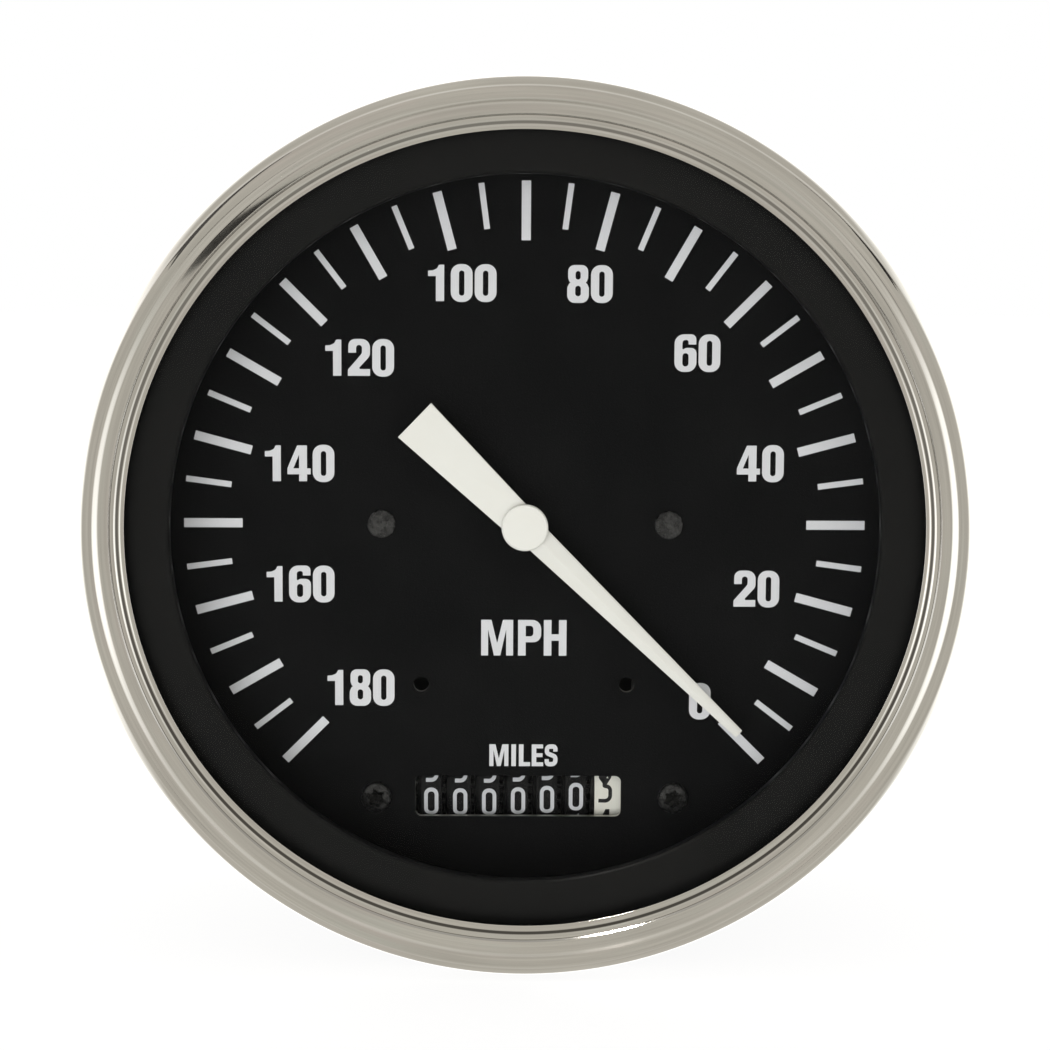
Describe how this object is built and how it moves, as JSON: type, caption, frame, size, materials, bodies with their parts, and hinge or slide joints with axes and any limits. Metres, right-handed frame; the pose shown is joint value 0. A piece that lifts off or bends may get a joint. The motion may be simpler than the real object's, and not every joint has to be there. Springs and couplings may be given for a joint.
{
  "type": "speedometer",
  "caption": "Round panel-mount speedometer with a sweeping pointer, a drum mileage counter, a polished bezel and a rear clamp bracket.",
  "frame": {"origin": "centre of the bezel's rear face, which rests on the instrument panel", "axes": "+Y away from the viewer, into the panel; +Z towards twelve o'clock; +X to the viewer's right"},
  "size_m": [0.125, 0.0915, 0.125],
  "materials": {
    "polished_steel": "polished stainless sheet, warm grey",
    "window_glass": "clear flat glass",
    "black_rubber": "moulded gasket and grommet",
    "ring_black": "matte black paint",
    "case_steel": "dark satin enamel on drawn steel",
    "dial_black": "satin black with printed marks",
    "dark_fasteners": "black oxide screws",
    "pointer_white": "white moulded pointer",
    "bright_steel": "bright zinc plated steel",
    "magnet_grey": "sintered magnet",
    "brass_yellow": "turned or stamped brass",
    "moulded_ivory": "natural moulded plastic",
    "wound_copper": "enamelled copper wire, wound in layers",
    "can_steel": "drawn shield can",
    "board_green": "coated circuit board",
    "parts_black": "moulded electronic parts",
    "button_red": "moulded button",
    "frame_steel": "plated sheet steel",
    "wheel_black": "black wheel with light printed digits",
    "wheel_white": "white wheel with dark printed digits",
    "motor_steel": "plated motor can",
    "lamp_plastic": "moulded lamp socket",
    "lamp_glass": "clear lamp glass"
  },
  "bodies": {
    "housing": {"bezel": "polished_steel", "lens": "window_glass", "lens_gasket": "black_rubber", "dial_ring": "ring_black", "case": "case_steel", "dial_plate": "dial_black", "movement_screws": "dark_fasteners", "counter_screws": "dark_fasteners", "front_bush": "brass_yellow", "rear_bush": "brass_yellow", "movement_carrier": "moulded_ivory", "bobbin_front": "moulded_ivory", "bobbin_rear": "moulded_ivory", "coil_inner": "wound_copper", "coil_outer": "wound_copper", "shield_can": "can_steel", "circuit_board": "board_green", "board_parts": "parts_black", "board_screws": "bright_steel", "terminal_block": "parts_black", "terminal_blades": "brass_yellow", "push_switch": "parts_black", "button_grommet": "black_rubber", "counter_frame": "frame_steel", "wheel_shaft": "bright_steel", "pinion_shaft": "bright_steel", "shaft_clips": "dark_fasteners", "counter_motor": "motor_steel", "motor_screws": "bright_steel", "lamp_sockets": "lamp_plastic", "lamp_bulbs": "lamp_glass", "mounting_studs": "bright_steel"},
    "pointer_unit": {"pointer": "pointer_white", "pointer_cap": "pointer_white", "pointer_spindle": "bright_steel", "magnet_rotor": "magnet_grey"},
    "wheel_1": {"number_wheel_1": "wheel_white"},
    "wheel_2": {"number_wheel_2": "wheel_black"},
    "wheel_3": {"number_wheel_3": "wheel_black"},
    "wheel_4": {"number_wheel_4": "wheel_black"},
    "wheel_5": {"number_wheel_5": "wheel_black"},
    "wheel_6": {"number_wheel_6": "wheel_black"},
    "wheel_7": {"number_wheel_7": "wheel_black"},
    "pinion_1": {"transfer_pinion_1": "moulded_ivory"},
    "pinion_2": {"transfer_pinion_2": "moulded_ivory"},
    "pinion_3": {"transfer_pinion_3": "moulded_ivory"},
    "pinion_4": {"transfer_pinion_4": "moulded_ivory"},
    "pinion_5": {"transfer_pinion_5": "moulded_ivory"},
    "pinion_6": {"transfer_pinion_6": "moulded_ivory"},
    "drive": {"drive_gear": "moulded_ivory"},
    "motor_rotor": {"motor_shaft": "bright_steel", "motor_pinion": "brass_yellow"},
    "button": {"setting_button": "button_red"},
    "clamp": {"bracket": "frame_steel", "bracket_washers": "bright_steel", "bracket_nuts": "bright_steel"}
  },
  "joints": [
    {"name": "pointer_sweep", "type": "hinge", "parent": "housing", "child": "pointer_unit", "pos_m": [0, 0, 0], "axis": [0, -1, 0], "range_deg": [-1, 269]},
    {"name": "wheel_1_turn", "type": "hinge", "parent": "housing", "child": "wheel_1", "pos_m": [0, 0.01755, -0.0397], "axis": [-1, 0, 0], "continuous": true},
    {"name": "wheel_2_turn", "type": "hinge", "parent": "housing", "child": "wheel_2", "pos_m": [0, 0.01755, -0.0397], "axis": [-1, 0, 0], "continuous": true},
    {"name": "wheel_3_turn", "type": "hinge", "parent": "housing", "child": "wheel_3", "pos_m": [0, 0.01755, -0.0397], "axis": [-1, 0, 0], "continuous": true},
    {"name": "wheel_4_turn", "type": "hinge", "parent": "housing", "child": "wheel_4", "pos_m": [0, 0.01755, -0.0397], "axis": [-1, 0, 0], "continuous": true},
    {"name": "wheel_5_turn", "type": "hinge", "parent": "housing", "child": "wheel_5", "pos_m": [0, 0.01755, -0.0397], "axis": [-1, 0, 0], "continuous": true},
    {"name": "wheel_6_turn", "type": "hinge", "parent": "housing", "child": "wheel_6", "pos_m": [0, 0.01755, -0.0397], "axis": [-1, 0, 0], "continuous": true},
    {"name": "wheel_7_turn", "type": "hinge", "parent": "housing", "child": "wheel_7", "pos_m": [0, 0.01755, -0.0397], "axis": [-1, 0, 0], "continuous": true},
    {"name": "pinion_1_turn", "type": "hinge", "parent": "housing", "child": "pinion_1", "pos_m": [0, 0.02675, -0.0397], "axis": [-1, 0, 0], "continuous": true},
    {"name": "pinion_2_turn", "type": "hinge", "parent": "housing", "child": "pinion_2", "pos_m": [0, 0.02675, -0.0397], "axis": [-1, 0, 0], "continuous": true},
    {"name": "pinion_3_turn", "type": "hinge", "parent": "housing", "child": "pinion_3", "pos_m": [0, 0.02675, -0.0397], "axis": [-1, 0, 0], "continuous": true},
    {"name": "pinion_4_turn", "type": "hinge", "parent": "housing", "child": "pinion_4", "pos_m": [0, 0.02675, -0.0397], "axis": [-1, 0, 0], "continuous": true},
    {"name": "pinion_5_turn", "type": "hinge", "parent": "housing", "child": "pinion_5", "pos_m": [0, 0.02675, -0.0397], "axis": [-1, 0, 0], "continuous": true},
    {"name": "pinion_6_turn", "type": "hinge", "parent": "housing", "child": "pinion_6", "pos_m": [0, 0.02675, -0.0397], "axis": [-1, 0, 0], "continuous": true},
    {"name": "drive_turn", "type": "hinge", "parent": "housing", "child": "drive", "pos_m": [0, 0.02675, -0.0397], "axis": [-1, 0, 0], "continuous": true},
    {"name": "motor_turn", "type": "hinge", "parent": "housing", "child": "motor_rotor", "pos_m": [0, 0.02882, -0.03197], "axis": [-1, 0, 0], "continuous": true},
    {"name": "button_press", "type": "slide", "parent": "housing", "child": "button", "axis": [0, -1, 0], "range_m": [0, 0.0008], "stiffness_N_per_m": 400},
    {"name": "bracket_slide", "type": "slide", "parent": "housing", "child": "clamp", "axis": [0, 1, 0], "range_m": [0, 0.016]}
  ],
  "couplings": [
    {"joint": "wheel_2_turn", "follows": "wheel_1_turn", "ratio": 0.1},
    {"joint": "wheel_3_turn", "follows": "wheel_1_turn", "ratio": 0.01},
    {"joint": "wheel_4_turn", "follows": "wheel_1_turn", "ratio": 0.001},
    {"joint": "wheel_5_turn", "follows": "wheel_1_turn", "ratio": 0.0001},
    {"joint": "wheel_6_turn", "follows": "wheel_1_turn", "ratio": 0.00001},
    {"joint": "wheel_7_turn", "follows": "wheel_1_turn", "ratio": 0.000001},
    {"joint": "pinion_1_turn", "follows": "wheel_1_turn", "ratio": -0.25},
    {"joint": "pinion_2_turn", "follows": "wheel_1_turn", "ratio": -0.025},
    {"joint": "pinion_3_turn", "follows": "wheel_1_turn", "ratio": -0.0025},
    {"joint": "pinion_4_turn", "follows": "wheel_1_turn", "ratio": -0.00025},
    {"joint": "pinion_5_turn", "follows": "wheel_1_turn", "ratio": -0.000025},
    {"joint": "pinion_6_turn", "follows": "wheel_1_turn", "ratio": -0.0000025},
    {"joint": "drive_turn", "follows": "wheel_1_turn", "ratio": -2.5},
    {"joint": "motor_turn", "follows": "wheel_1_turn", "ratio": 7.5}
  ]
}
